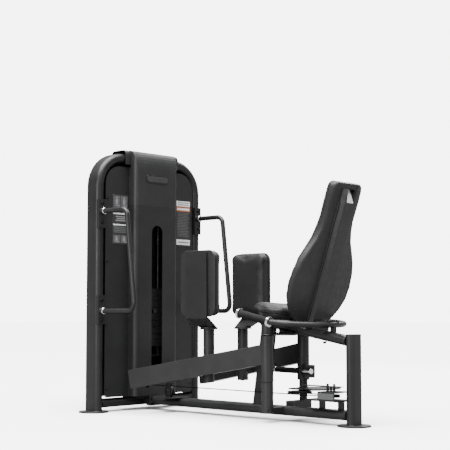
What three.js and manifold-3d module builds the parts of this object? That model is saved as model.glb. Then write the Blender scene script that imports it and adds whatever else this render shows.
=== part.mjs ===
// Hip abductor machine: a weight tower, a seat frame and two swinging arms with thigh pads.
// Millimetres, +Z up, +Y from the seat towards the tower, X = 0 is the plane of symmetry.
import * as THREE from 'three';
import { mergeVertices } from 'three/addons/utils/BufferGeometryUtils.js';
import Module from 'manifold-3d';

const wasm = await Module();
wasm.setup();

// ---------------------------------------------------------------- driving dimensions
const GAP = 0.3;                       // clearance kept between touching pieces
const BASE_LENGTH = 1536;              // rear column centre to tower plane
const TOWER_Y = BASE_LENGTH / 2;
const REAR_Y = -BASE_LENGTH / 2;
const TOWER_WIDTH = 818;
const TOWER_TUBE = { long: 114, short: 57 };
const TOWER_TUBE_TOP = 1478;
const TOWER_CORNER = 171;              // centre-line radius of the two top bends
const COLUMN_X = (TOWER_WIDTH - TOWER_TUBE.short) / 2;
const FRAME_TUBE = { long: 94, short: 47 };
const FOOT_RADIUS = 84;
const FOOT_THICK = 8;
const RAIL_TOP = 77;

const PANEL_Y = TOWER_Y - 48;          // plane of the flat wings of the front cover
const PANEL_HALF = 345;
const PANEL_BOTTOM = 82;
const PANEL_TOP = 1400;
const REAR_PANEL_HALF = 356.8;
const REAR_PANEL_TOP = 1426;
const SHEET = 3;
const BOX_HALF = 170;                  // raised middle of the covers
const BOX_DEPTH = 60;
const BOX_ROUND = 28;
const BACK_BOX_DEPTH = 50;
const HOOD_BOTTOM = 1178;
const HOOD_TOP = 1500;
const HOOD_HALF = 209;

const PIVOT_X = 144;
const PIVOT_Y = TOWER_Y - 1093;
const SHAFT_RADIUS = 15;
const HUB_RADIUS = 32;
const HUB_BOTTOM = 206;
const HUB_TOP = 443;
const ARM_SPREAD = 8.6 * Math.PI / 180;
const ARM_SLOPE = 10.1 * Math.PI / 180;
const ARM_LENGTH = 922;
const ARM_WIDE = 50;
const ARM_TALL = 102;
const ARM_TOP_AT_PIVOT = 401;
const POST_X = 135;
const POST_Y = TOWER_Y - 665;
const POST_RADIUS = 30;
const POST_BOTTOM = 186;
const POST_TOP = 470;

const PAD_INNER = 167;
const PAD_OUTER = 225;
const PAD_SHELL = 12;                  // board behind the foam
const PAD_HALF_WIDE = 129;
const PAD_BOTTOM = 538;
const PAD_TOP = 893;

const SEAT_TILT = 5 * Math.PI / 180;
const SEAT_THICK = 40;
const PAN_DEEP = 30;                   // moulded pan under the seat cushion
const TUBE_TILT = 9.85 * Math.PI / 180;
const SEAT_TUBE_BOTTOM = 479;          // underside of the seat tube at SEAT_TUBE_AT
const SEAT_TUBE_AT = TOWER_Y - 1028;
const SEAT_TUBE_FRONT = TOWER_Y - 955;
const BACK_LEAN = 19.4 * Math.PI / 180;

const CABLE_Z = 146;
const CABLE_RADIUS = 3;
const SHEAVE = 45;                     // radius of the cable's centre line on a pulley
const CAM_RADIUS = 125;                // radius of the cable's centre line on the cam
const RETURN_X = PIVOT_X - CAM_RADIUS; // cable run that pulls on the cam
const CABLE_X = RETURN_X - 2 * SHEAVE; // cable run to the tower
const TURN = { x: RETURN_X - SHEAVE, y: TOWER_Y - 1412 };
const RISER_Y = TOWER_Y + 75;
const BOTTOM_WHEEL = { y: RISER_Y - SHEAVE, z: CABLE_Z + SHEAVE };
const ENTRY = { y: TOWER_Y - 290, radius: 27 };
const TOP_WHEEL_Z = 1312;

const GEAR_TEETH = 96;
const GEAR_Z = HUB_TOP + GAP;
const GEAR_THICK = 7;
const PIVOT_PLATE_Z = 451.5;

const PLATE_COUNT = 8;
const PLATES_LIFTED = 3;
const PLATE_PITCH = 38;
const PLATE = { wide: 300, deep: 84, tall: 36 };
const STACK_BOTTOM = 360;
const ROD_X = 105;
const ROD_RADIUS = 10;
const STEM_RADIUS = 11;

// ---------------------------------------------------------------- finishes
function finish(colour, roughness, metalness) {
  return { colour, roughness, metalness };
}
const STEEL = finish(0x35363a, 0.42, 0.35);
const COVER = finish(0x303134, 0.55, 0.2);
const RUBBER = finish(0x1d1d1f, 0.8, 0);
const HIDE = finish(0x2b2b2d, 0.6, 0);
const MOULDED = finish(0x2c2d30, 0.5, 0);
const CHROME = finish(0xd8dadd, 0.12, 1);
const IRON = finish(0x222326, 0.6, 0.4);
const NYLON = finish(0x151516, 0.45, 0);
const CORD = finish(0x101011, 0.4, 0);

// ---------------------------------------------------------------- solids
function toSolid(geometry) {
  const bare = geometry.clone();
  bare.deleteAttribute('normal');
  bare.deleteAttribute('uv');
  const merged = mergeVertices(bare, 1e-4);
  return new wasm.Manifold(new wasm.Mesh({
    numProp: 3,
    vertProperties: new Float32Array(merged.attributes.position.array),
    triVerts: new Uint32Array(merged.index.array),
  }));
}

function toGeometry(solid) {
  const mesh = solid.getMesh();
  const geometry = new THREE.BufferGeometry();
  geometry.setAttribute('position', new THREE.BufferAttribute(mesh.vertProperties, 3));
  geometry.setIndex(new THREE.BufferAttribute(mesh.triVerts, 1));
  return geometry;
}

function join(...geometries) {
  return toGeometry(geometries.map(toSolid).reduce((a, b) => a.add(b)));
}

function cut(geometry, ...tools) {
  return toGeometry(tools.map(toSolid).reduce((a, b) => a.subtract(b), toSolid(geometry)));
}

// a box given by its lowest and highest corners
function block(low, high) {
  const size = high.map((value, i) => value - low[i]);
  const box = new THREE.BoxGeometry(...size);
  return box.translate(...low.map((value, i) => value + size[i] / 2));
}

// a cylinder between two heights on a vertical axis
function rod(radius, x, y, z0, z1, sides = 24) {
  const body = new THREE.CylinderGeometry(radius, radius, z1 - z0, sides);
  return body.rotateX(Math.PI / 2).translate(x, y, (z0 + z1) / 2);
}

// a cylinder between any two points
function bar(radius, from, to, sides = 16, endRadius = radius) {
  const a = new THREE.Vector3(...from);
  const b = new THREE.Vector3(...to);
  const body = new THREE.CylinderGeometry(endRadius, radius, a.distanceTo(b), sides);
  const turn = new THREE.Quaternion().setFromUnitVectors(
    new THREE.Vector3(0, 1, 0), b.clone().sub(a).normalize());
  body.applyQuaternion(turn);
  const middle = a.add(b).multiplyScalar(0.5);
  return body.translate(middle.x, middle.y, middle.z);
}

// rings of points, one closed outline after another, skinned and capped
function skin(rings) {
  const count = rings[0].length;
  const position = rings.flat().flatMap((p) => [p.x, p.y, p.z]);
  const index = [];
  for (let r = 0; r + 1 < rings.length; r += 1) {
    for (let i = 0; i < count; i += 1) {
      const j = (i + 1) % count;
      const a = r * count + i;
      const b = r * count + j;
      index.push(a, b, b + count, a, b + count, a + count);
    }
  }
  const last = (rings.length - 1) * count;
  for (const [a, b, c] of capOf(rings[0])) {
    index.push(a, c, b);
  }
  for (const [a, b, c] of capOf(rings.at(-1))) {
    index.push(last + a, last + b, last + c);
  }
  const geometry = new THREE.BufferGeometry();
  geometry.setAttribute('position', new THREE.Float32BufferAttribute(position, 3));
  geometry.setIndex(index);
  if (signedVolume(geometry) < 0) {
    for (let i = 0; i < index.length; i += 3) {
      [index[i], index[i + 1]] = [index[i + 1], index[i]];
    }
    geometry.setIndex(index);
  }
  return geometry;
}

// triangles that fill one flat ring, facing the way its points turn
function capOf(ring) {
  const centre = ring.reduce((sum, p) => sum.add(p), new THREE.Vector3()).divideScalar(ring.length);
  const spoke = ring.map((p) => p.clone().sub(centre));
  const normal = new THREE.Vector3();
  spoke.forEach((s, i) => normal.add(s.clone().cross(spoke[(i + 1) % spoke.length])));
  const u = spoke[0].clone().normalize();
  const v = normal.normalize().clone().cross(u);
  const flat = spoke.map((s) => new THREE.Vector2(s.dot(u), s.dot(v)));
  return THREE.ShapeUtils.triangulateShape(flat, []);
}

function signedVolume(geometry) {
  const p = geometry.attributes.position;
  const index = geometry.index.array;
  const corner = (i) => new THREE.Vector3().fromBufferAttribute(p, index[i]);
  let sum = 0;
  for (let i = 0; i < index.length; i += 3) {
    sum += corner(i).dot(corner(i + 1).cross(corner(i + 2)));
  }
  return sum;
}

// outline of a flat-oval tube, long along the second axis
function oval({ long, short }, segments = 8) {
  const radius = short / 2;
  const straight = (long - short) / 2;
  const points = [];
  for (const side of [1, -1]) {
    for (let i = 0; i <= segments; i += 1) {
      const angle = (i / segments) * Math.PI + (side > 0 ? 0 : Math.PI);
      points.push(new THREE.Vector2(radius * Math.cos(angle), side * straight + radius * Math.sin(angle)));
    }
  }
  return points;
}

function circle(radius, sides) {
  return Array.from({ length: sides }, (_, i) => {
    const angle = (i / sides) * 2 * Math.PI;
    return new THREE.Vector2(radius * Math.cos(angle), radius * Math.sin(angle));
  });
}

// a section swept along straight runs with round corners, all in the plane across `side`
function sweep(section, corners, side, radius, cornerSteps = 8) {
  const points = corners.map((c) => new THREE.Vector3(...c));
  const across = new THREE.Vector3(...side);
  const stations = [{ p: points[0], t: points[1].clone().sub(points[0]).normalize() }];
  for (let i = 1; i + 1 < points.length; i += 1) {
    const before = points[i].clone().sub(points[i - 1]).normalize();
    const after = points[i + 1].clone().sub(points[i]).normalize();
    const turn = before.angleTo(after);
    const back = radius * Math.tan(turn / 2);
    const start = points[i].clone().addScaledVector(before, -back);
    const axis = before.clone().cross(after).normalize();
    const centre = start.clone().addScaledVector(axis.clone().cross(before), radius);
    for (let k = 0; k <= cornerSteps; k += 1) {
      const angle = (turn * k) / cornerSteps;
      const p = start.clone().sub(centre).applyAxisAngle(axis, angle).add(centre);
      stations.push({ p, t: before.clone().applyAxisAngle(axis, angle) });
    }
  }
  stations.push({ p: points.at(-1), t: points.at(-1).clone().sub(points.at(-2)).normalize() });
  return skin(stations.map(({ p, t }) => {
    const u = across.clone().cross(t).normalize();
    return section.map((s) => p.clone().addScaledVector(u, s.x).addScaledVector(across, s.y));
  }));
}

// a flat outline in X and Z, given thickness along Y from y0 to y1
function plateXZ(shape, y0, y1, curveSegments = 8) {
  const body = new THREE.ExtrudeGeometry(shape, { depth: y1 - y0, bevelEnabled: false, curveSegments });
  return body.rotateX(Math.PI / 2).translate(0, y1, 0);
}

// a flat outline in X and Y, given thickness along Z
function plateXY(shape, z0, z1, curveSegments = 12) {
  const body = new THREE.ExtrudeGeometry(shape, { depth: z1 - z0, bevelEnabled: false, curveSegments });
  return body.translate(0, 0, z0);
}

function roundedRect(x0, y0, x1, y1, r) {
  const shape = new THREE.Shape();
  shape.moveTo(x0 + r, y0);
  shape.lineTo(x1 - r, y0);
  shape.absarc(x1 - r, y0 + r, r, -Math.PI / 2, 0);
  shape.lineTo(x1, y1 - r);
  shape.absarc(x1 - r, y1 - r, r, 0, Math.PI / 2);
  shape.lineTo(x0 + r, y1);
  shape.absarc(x0 + r, y1 - r, r, Math.PI / 2, Math.PI);
  shape.lineTo(x0, y0 + r);
  shape.absarc(x0 + r, y0 + r, r, Math.PI, 1.5 * Math.PI);
  return shape;
}

// ---------------------------------------------------------------- scene graph
const machine = new THREE.Group();

function piece(name, geometry, look, parent = machine) {
  const material = new THREE.MeshStandardMaterial({
    color: look.colour, roughness: look.roughness, metalness: look.metalness,
  });
  const mesh = new THREE.Mesh(geometry, material);
  mesh.name = name;
  parent.add(mesh);
  return mesh;
}

function mirrored(geometry) {
  const copy = geometry.clone().scale(-1, 1, 1);
  const index = Array.from(copy.index.array);
  for (let i = 0; i < index.length; i += 3) {
    [index[i], index[i + 1]] = [index[i + 1], index[i]];
  }
  copy.setIndex(index);
  return copy;
}

// both copies of a piece that is drawn on the +X side
function pair(name, geometry, look) {
  piece(`${name}_right`, geometry, look);
  piece(`${name}_left`, mirrored(geometry), look);
}

// ---------------------------------------------------------------- frame
function makeTowerFrame() {
  const top = TOWER_TUBE_TOP - TOWER_TUBE.short / 2;
  const arch = sweep(oval(TOWER_TUBE), [
    [-COLUMN_X, TOWER_Y, FOOT_THICK / 2], [-COLUMN_X, TOWER_Y, top],
    [COLUMN_X, TOWER_Y, top], [COLUMN_X, TOWER_Y, FOOT_THICK / 2],
  ], [0, 1, 0], TOWER_CORNER);
  const feet = [-1, 1].map((s) => rod(FOOT_RADIUS, s * COLUMN_X, TOWER_Y, 0, FOOT_THICK, 32));
  piece('tower_frame', join(arch, ...feet), STEEL);
}

function makeBase() {
  const crossEnd = COLUMN_X - TOWER_TUBE.short / 2 - GAP;
  const crossZ = 72 - FRAME_TUBE.short / 2;
  piece('tower_cross_rail', sweep(oval(FRAME_TUBE), [
    [-crossEnd, TOWER_Y, crossZ], [crossEnd, TOWER_Y, crossZ],
  ], [0, 1, 0], 0), STEEL);
  const railFront = TOWER_Y - FRAME_TUBE.long / 2 - GAP;
  const railBack = REAR_Y + FRAME_TUBE.short / 2 + GAP;
  const railZ = RAIL_TOP - FRAME_TUBE.short / 2;
  const rail = sweep(oval(FRAME_TUBE), [[0, railBack, railZ], [0, railFront, railZ]], [1, 0, 0], 0);
  const joinPlates = [40, 62].map((d) => (
    block([-60, railFront - d - 8, 24], [60, railFront - d, RAIL_TOP + 4])));
  const stubLow = 47;
  const leftStub = block([-170, PIVOT_Y - 25, stubLow], [-30, PIVOT_Y + 25, 75]);
  const leftPost = rod(31, -PIVOT_X, PIVOT_Y, stubLow, HUB_BOTTOM - 1.5);
  const rightStub = block([30, PIVOT_Y - 25, stubLow], [182, PIVOT_Y + 25, 100]);
  piece('base_rail', join(rail, ...joinPlates, leftStub, leftPost, rightStub), STEEL);
  const column = sweep(oval(FRAME_TUBE), [
    [0, REAR_Y, FOOT_THICK / 2], [0, REAR_Y, 454],
  ], [1, 0, 0], 0);
  piece('rear_column', join(column, rod(FOOT_RADIUS, 0, REAR_Y, 0, FOOT_THICK, 32)), STEEL);
}

function tubeUnderside(y) {
  return SEAT_TUBE_BOTTOM + Math.tan(TUBE_TILT) * (y - SEAT_TUBE_AT);
}

function makeSeatFrame() {
  const middle = (y) => tubeUnderside(y) + FRAME_TUBE.short / 2 / Math.cos(TUBE_TILT);
  const back = REAR_Y - 60;
  const tube = sweep(oval(FRAME_TUBE), [
    [0, back, middle(back)], [0, SEAT_TUBE_FRONT, middle(SEAT_TUBE_FRONT)],
  ], [1, 0, 0], 0);
  const wall = block([-200, back - 200, 0], [200, REAR_Y + FRAME_TUBE.short / 2 + GAP, 900]);
  piece('seat_tube', cut(tube, wall), STEEL);

  const footY = TOWER_Y - 906;
  const lean = 0.1537;
  const upright = sweep(
    oval(FRAME_TUBE).map((p) => new THREE.Vector2(p.y, p.x)),
    [[0, footY, 0], [0, footY - lean * 560, 560]], [-1, 0, 0], 0);
  const floor = block([-200, footY - 400, -50], [200, footY + 400, RAIL_TOP + GAP]);
  const roof = block([-200, -300, 0], [200, 300, 300]);
  roof.rotateX(TUBE_TILT).translate(0, SEAT_TUBE_AT, SEAT_TUBE_BOTTOM - GAP);
  piece('seat_column', cut(upright, floor, roof), STEEL);
}

// ---------------------------------------------------------------- covers of the tower
// plan outline of the raised middle of a cover; back is the side away from the viewer
function boxOutline(inset, depth, back) {
  const half = BOX_HALF - inset;
  const front = -(depth - inset);
  const r = BOX_ROUND - inset;
  const shape = new THREE.Shape();
  shape.moveTo(-half, back);
  shape.lineTo(-half + 2, front + r);
  shape.absarc(-half + 2 + r, front + r, r, Math.PI, 1.5 * Math.PI);
  shape.lineTo(half - 2 - r, front);
  shape.absarc(half - 2 - r, front + r, r, 1.5 * Math.PI, 2 * Math.PI);
  shape.lineTo(half, back);
  return shape;
}

function wingOutline(half, top, round) {
  const foot = 12;
  const shape = new THREE.Shape();
  shape.moveTo(-half + foot, PANEL_BOTTOM);
  shape.lineTo(half - foot, PANEL_BOTTOM);
  shape.lineTo(half, PANEL_BOTTOM + foot);
  shape.lineTo(half, top - round);
  shape.absarc(half - round, top - round, round, 0, Math.PI / 2);
  shape.lineTo(-half + round, top);
  shape.absarc(-half + round, top - round, round, Math.PI / 2, Math.PI);
  shape.lineTo(-half, PANEL_BOTTOM + foot);
  return shape;
}

function makeFrontShroud() {
  const wings = plateXZ(wingOutline(PANEL_HALF, PANEL_TOP, 105), PANEL_Y, PANEL_Y + SHEET);
  const top = HOOD_BOTTOM - GAP;
  const outer = plateXY(boxOutline(0, BOX_DEPTH, 1), PANEL_BOTTOM, top, 5);
  const inner = plateXY(boxOutline(SHEET, BOX_DEPTH, 10), PANEL_BOTTOM - 1, top + 1, 5);
  outer.translate(0, PANEL_Y, 0);
  inner.translate(0, PANEL_Y, 0);
  const hoodGap = block([-BOX_HALF - GAP, PANEL_Y - 5, top], [BOX_HALF + GAP, PANEL_Y + 10, PANEL_TOP + 10]);
  const slot = plateXZ(roundedRect(-42, 225, 42, 1066, 41.9), PANEL_Y - BOX_DEPTH - 5, PANEL_Y - 30);
  const cableHole = roundedRect(CABLE_X - 14, CABLE_Z - 20, CABLE_X + 14, CABLE_Z + 20, 12);
  const cableWay = plateXZ(cableHole, PANEL_Y - BOX_DEPTH - 5, PANEL_Y - 30);
  piece('front_shroud', cut(join(wings, outer), inner, hoodGap, slot, cableWay), COVER);
}

function makeRearShroud() {
  const y = 2 * TOWER_Y - PANEL_Y;
  const wings = plateXZ(wingOutline(REAR_PANEL_HALF, REAR_PANEL_TOP, 147.5), y - SHEET, y);
  const outer = plateXY(boxOutline(0, BACK_BOX_DEPTH, 1), PANEL_BOTTOM, 1380, 5).rotateZ(Math.PI);
  const inner = plateXY(boxOutline(SHEET, BACK_BOX_DEPTH, 10), PANEL_BOTTOM - 1, 1377, 5).rotateZ(Math.PI);
  outer.translate(0, y, 0);
  inner.translate(0, y, 0);
  piece('rear_shroud', cut(join(wings, outer), inner), COVER);
}

// side outline of the hood, y measured from the tower plane
function hoodProfile(inset) {
  const front = -(48 + BOX_DEPTH) + inset;
  const top = HOOD_TOP - inset;
  const shape = new THREE.Shape();
  shape.moveTo(-45, HOOD_BOTTOM - (inset ? 1 : 0));
  shape.lineTo(front, HOOD_BOTTOM - (inset ? 1 : 0));
  shape.lineTo(front, 1385);
  shape.bezierCurveTo(front, 1440, -92 + inset, top, -50, top);
  shape.lineTo(-45, top);
  return shape;
}

function collarProfile(inset) {
  const half = 64 - inset;
  const top = HOOD_TOP - inset;
  const low = inset ? 1400 : 1415;
  const shape = new THREE.Shape();
  shape.moveTo(-half, low);
  shape.lineTo(-half, 1462);
  shape.quadraticCurveTo(-half, top, -34, top);
  shape.lineTo(34, top);
  shape.quadraticCurveTo(half, top, half, 1462);
  shape.lineTo(half, low);
  return shape;
}

// a flat outline in Y and Z, given thickness along X from x0 to x1
function plateYZ(shape, x0, x1, curveSegments = 8) {
  const body = new THREE.ExtrudeGeometry(shape, { depth: x1 - x0, bevelEnabled: false, curveSegments });
  const axes = new THREE.Matrix4().set(0, 0, 1, x0, 1, 0, 0, 0, 0, 1, 0, 0, 0, 0, 0, 1);
  return body.applyMatrix4(axes);
}

function makeHood() {
  const shell = (inset, half) => {
    const side = toSolid(plateYZ(hoodProfile(inset), -BOX_HALF, BOX_HALF).translate(0, TOWER_Y, 0));
    const plan = plateXY(boxOutline(inset, BOX_DEPTH, 3), HOOD_BOTTOM - 2, HOOD_TOP + 1, 5);
    const box = side.intersect(toSolid(plan.translate(0, PANEL_Y, 0)));
    const collar = toSolid(plateYZ(collarProfile(inset), -half, half).translate(0, TOWER_Y, 0));
    return box.add(collar);
  };
  const side = BOX_HALF - 4;
  const open = toSolid(block([-side, PANEL_Y - 20, HOOD_BOTTOM - 2], [side, PANEL_Y + 4, 1420]));
  piece('top_hood', toGeometry(shell(0, HOOD_HALF).subtract(shell(4, HOOD_HALF + 1)).subtract(open)), COVER);
}

// ---------------------------------------------------------------- handles on the tower
function makeTowerHandles() {
  const front = TOWER_Y - TOWER_TUBE.long / 2;
  const low = 568;
  const high = 1132;
  const rodRadius = 14;
  const loop = sweep(circle(rodRadius, 12), [
    [COLUMN_X, front + 4, high], [COLUMN_X, TOWER_Y - 270, high],
    [COLUMN_X, TOWER_Y - 338, low], [COLUMN_X, front + 4, low],
  ], [1, 0, 0], 42, 6);
  const parts = [loop];
  for (const z of [low, high]) {
    const middle = z === low ? z + 8 : z - 14;
    parts.push(block([COLUMN_X - 25, front - 6, middle - 82], [COLUMN_X + 25, front + 20, middle + 82]));
    parts.push(bar(22, [COLUMN_X, front, z], [COLUMN_X, front - 22, z], 20, 17));
  }
  const column = sweep(oval({ long: TOWER_TUBE.long + 2 * GAP, short: TOWER_TUBE.short + 2 * GAP }), [
    [COLUMN_X, TOWER_Y, 300], [COLUMN_X, TOWER_Y, 1260],
  ], [0, 1, 0], 0);
  pair('tower_handle', cut(join(...parts), column), STEEL);
}

// ---------------------------------------------------------------- weights
function makeWeights() {
  const base = 300;
  const legs = [-130, 130].map((x) => (
    block([x - 18, TOWER_Y - 22, 72 + GAP], [x + 18, TOWER_Y + 22, base + 2])));
  const shelf = block([-150, TOWER_Y - 40, base], [150, TOWER_Y + 40, base + 12]);
  const bumpers = [-ROD_X, ROD_X].map((x) => rod(26, x, TOWER_Y, base + 11, STACK_BOTTOM - GAP, 20));
  const seats = [-ROD_X, ROD_X].map((x) => rod(ROD_RADIUS + GAP, x, TOWER_Y, base + 5, STACK_BOTTOM + 2, 16));
  piece('stack_base', cut(join(shelf, ...legs, ...bumpers), ...seats), STEEL);
  const rodTop = TOWER_TUBE_TOP - TOWER_TUBE.short - GAP;
  pair('guide_rod', rod(ROD_RADIUS, ROD_X, TOWER_Y, base + 5 + GAP, rodTop, 16), CHROME);

  const holes = (z0, z1) => [
    rod(ROD_RADIUS + 1, -ROD_X, TOWER_Y, z0 - 1, z1 + 1, 12),
    rod(ROD_RADIUS + 1, ROD_X, TOWER_Y, z0 - 1, z1 + 1, 12),
    rod(STEM_RADIUS + 1, 0, TOWER_Y, z0 - 1, z1 + 1, 12),
  ];
  for (let i = 1; i <= PLATE_COUNT; i += 1) {
    const z0 = STACK_BOTTOM + (PLATE_COUNT - i) * PLATE_PITCH;
    const z1 = z0 + PLATE.tall;
    const body = block(
      [-PLATE.wide / 2, TOWER_Y - PLATE.deep / 2, z0], [PLATE.wide / 2, TOWER_Y + PLATE.deep / 2, z1]);
    const pinHole = bar(6, [0, TOWER_Y - 60, pinHeight(i)], [0, TOWER_Y - 5, pinHeight(i)], 8);
    piece(`weight_plate_${i}`, cut(body, ...holes(z0, z1), pinHole), IRON);
  }
  const headLow = STACK_BOTTOM + PLATE_COUNT * PLATE_PITCH;
  const headTop = headLow + PLATE.tall;
  const head = block(
    [-PLATE.wide / 2, TOWER_Y - PLATE.deep / 2, headLow], [PLATE.wide / 2, TOWER_Y + PLATE.deep / 2, headTop]);
  const boss = rod(24, 0, TOWER_Y, headTop - 1, headTop + 26, 16);
  const bore = holes(headLow, headTop + 26);
  bore[2] = rod(STEM_RADIUS + GAP, 0, TOWER_Y, headLow - 1, headTop + 28, 16);
  piece('weight_head', cut(join(head, boss), ...bore), IRON);

  const crossHoles = Array.from({ length: PLATE_COUNT }, (_, i) => (
    bar(5, [0, TOWER_Y - 20, pinHeight(i + 1)], [0, TOWER_Y + 20, pinHeight(i + 1)], 8)));
  const stem = rod(STEM_RADIUS, 0, TOWER_Y, STACK_BOTTOM + 4, headTop + 40, 16);
  piece('lift_stem', cut(stem, ...crossHoles), CHROME);

  const z = pinHeight(PLATES_LIFTED);
  const pin = bar(4, [0, TOWER_Y - 60, z], [0, TOWER_Y + 8, z], 12);
  const knob = bar(14, [0, TOWER_Y - 92, z], [0, TOWER_Y - 58, z], 20, 10);
  piece('selector_pin', join(pin, knob), CHROME);
}

function pinHeight(number) {
  return STACK_BOTTOM + (PLATE_COUNT - number) * PLATE_PITCH + PLATE.tall / 2;
}

// ---------------------------------------------------------------- pulleys and cable
// a grooved wheel about the Z axis, its groove holding a cable whose centre line is at `radius`
function wheel(radius) {
  const half = 7;
  const rim = radius + 4;
  const floor = radius - CABLE_RADIUS - GAP;
  const bore = 6 + GAP;
  const profile = [
    [bore, -half], [rim, -half], [floor, -3.2], [floor, 3.2], [rim, half], [bore, half], [bore, -half]];
  const body = new THREE.LatheGeometry(profile.map(([x, y]) => new THREE.Vector2(x, y)), 24);
  return toGeometry(toSolid(body.rotateX(Math.PI / 2)));
}

// turned so that the wheel's axle lies along `axle`
function aim(geometry, axle, centre) {
  const turn = new THREE.Quaternion().setFromUnitVectors(
    new THREE.Vector3(0, 0, 1), new THREE.Vector3(...axle).normalize());
  return geometry.applyQuaternion(turn).translate(...centre);
}

// two cheeks beside a wheel, with its axle, in the wheel's own frame: X along the run, Y up
function cheeks(low, high, width = 44) {
  const inner = 8;
  const outer = 12;
  return [-1, 1].map((s) => block(
    [-width / 2, low, s > 0 ? inner : -outer], [width / 2, high, s > 0 ? outer : -inner]))
    .concat([rod(6, 0, 0, -outer - 5, outer + 5, 12)]);
}

function place(geometries, along, up, centre) {
  const x = new THREE.Vector3(...along).normalize();
  const y = new THREE.Vector3(...up).normalize();
  const frame = new THREE.Matrix4().makeBasis(x, y, x.clone().cross(y)).setPosition(...centre);
  return geometries.map((g) => g.applyMatrix4(frame));
}

const topSpan = new THREE.Vector3(CABLE_X, RISER_Y - TOWER_Y, 0);
const TOP_SHEAVE = topSpan.length() / 2;
const TOP_CENTRE = [CABLE_X / 2, (RISER_Y + TOWER_Y) / 2, TOP_WHEEL_Z];

function makePulleys() {
  const along = topSpan.clone().normalize();
  const axle = along.clone().cross(new THREE.Vector3(0, 0, 1));
  piece('top_pulley', aim(wheel(TOP_SHEAVE), axle.toArray(), TOP_CENTRE), NYLON);
  const yokeTop = TOP_WHEEL_Z + 65;
  const hanger = place(cheeks(-20, yokeTop - TOP_WHEEL_Z), along.toArray(), [0, 0, 1], TOP_CENTRE);
  const yoke = block([-66, TOWER_Y - 24, yokeTop - 7], [4, TOWER_Y + 44, yokeTop]);
  const tubeFloor = TOWER_TUBE_TOP - TOWER_TUBE.short - GAP;
  const post = block([-55, TOWER_Y - 22, yokeTop - 2], [-5, TOWER_Y + 38, tubeFloor]);
  piece('top_pulley_bracket', join(...hanger, yoke, post), STEEL);

  const bottom = [CABLE_X, BOTTOM_WHEEL.y, BOTTOM_WHEEL.z];
  piece('bottom_pulley', aim(wheel(SHEAVE), [1, 0, 0], bottom), NYLON);
  const drop = 72 + GAP - BOTTOM_WHEEL.z;
  const stand = cheeks(drop, 18);
  stand.push(block([-22, drop, -14], [22, drop + 8, 14]));
  piece('bottom_pulley_bracket', join(...place(stand, [0, 1, 0], [0, 0, 1], bottom)), STEEL);

  const entryZ = CABLE_Z - ENTRY.radius;
  const entry = [CABLE_X, ENTRY.y, entryZ];
  piece('entry_pulley', aim(wheel(ENTRY.radius), [1, 0, 0], entry), NYLON);
  const floor = RAIL_TOP + GAP - entryZ;
  const guard = cheeks(floor, ENTRY.radius + 16, 30);
  guard.push(block([-60, floor, -110], [60, floor + 5, 40]));
  piece('entry_pulley_bracket', join(...place(guard, [0, -1, 0], [0, 0, 1], entry)), STEEL);

  piece('turn_pulley', wheel(SHEAVE).translate(TURN.x, TURN.y, CABLE_Z), NYLON);
  const left = TURN.x - SHEAVE - 14;
  const right = TURN.x + SHEAVE + 11;
  const shelf = block([left, TURN.y - 88, 121], [right, TURN.y + 122, 128]);
  const roof = block([left, TURN.y - 78, 164], [right, TURN.y + 37, 169]);
  const wall = block([left, TURN.y - 66, 127], [left + 4, TURN.y + 40, 165]);
  const strap = block([TURN.x - 24, TURN.y - 62, 190], [TURN.x + 24, TURN.y + 170, 194]);
  const axlePin = rod(6, TURN.x, TURN.y, 120, 191, 12);
  const bolts = [-21, 20].map((d) => rod(6.5, TURN.x, TURN.y + d, 168, 206, 12));
  const feet = [-44, 76].map((d) => block([-23, TURN.y + d - 4, RAIL_TOP + GAP], [23, TURN.y + d + 4, 122]));
  piece('turn_pulley_bracket', join(shelf, roof, wall, strap, axlePin, ...bolts, ...feet), STEEL);
}

// points of a quarter, half or other arc from `start`, turning about `centre` round `axis`
function arc(start, centre, axis, angle, steps) {
  const middle = new THREE.Vector3(...centre);
  const arm = new THREE.Vector3(...start).sub(middle);
  const about = new THREE.Vector3(...axis).normalize();
  return Array.from({ length: steps + 1 }, (_, i) => (
    arm.clone().applyAxisAngle(about, (angle * i) / steps).add(middle)));
}

// a round cord through points, its rings turned as little as possible from one to the next
function cord(points, radius, sides = 8) {
  const tangent = points.map((p, i) => {
    const before = points[Math.max(i - 1, 0)];
    const after = points[Math.min(i + 1, points.length - 1)];
    return after.clone().sub(before).normalize();
  });
  const u = new THREE.Vector3(1, 0, 0);
  const rings = points.map((p, i) => {
    u.addScaledVector(tangent[i], -u.dot(tangent[i])).normalize();
    const v = tangent[i].clone().cross(u);
    return circle(radius, sides).map((s) => p.clone().addScaledVector(u, s.x).addScaledVector(v, s.y));
  });
  return skin(rings);
}

function makeCable() {
  const along = topSpan.clone().normalize();
  const topAxis = along.clone().cross(new THREE.Vector3(0, 0, 1)).negate().toArray();
  const stemTop = STACK_BOTTOM + PLATE_COUNT * PLATE_PITCH + PLATE.tall + 40 + GAP;
  const points = [
    new THREE.Vector3(0, TOWER_Y, stemTop),
    ...arc([0, TOWER_Y, TOP_WHEEL_Z], TOP_CENTRE, topAxis, -Math.PI, 12),
    ...arc(
      [CABLE_X, RISER_Y, BOTTOM_WHEEL.z], [CABLE_X, BOTTOM_WHEEL.y, BOTTOM_WHEEL.z], [1, 0, 0], -Math.PI / 2, 6),
    ...arc([CABLE_X, TURN.y, CABLE_Z], [TURN.x, TURN.y, CABLE_Z], [0, 0, 1], Math.PI, 12),
    new THREE.Vector3(RETURN_X, PIVOT_Y, CABLE_Z),
  ];
  piece('pull_cable', cord(points, CABLE_RADIUS), CORD);
}

// ---------------------------------------------------------------- arms, pivots and pads
// a frame whose Y axis runs along the right arm, origin on the pivot axis at floor level
function alongArm(geometry) {
  return geometry.rotateZ(-ARM_SPREAD).translate(PIVOT_X, PIVOT_Y, 0);
}

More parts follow.
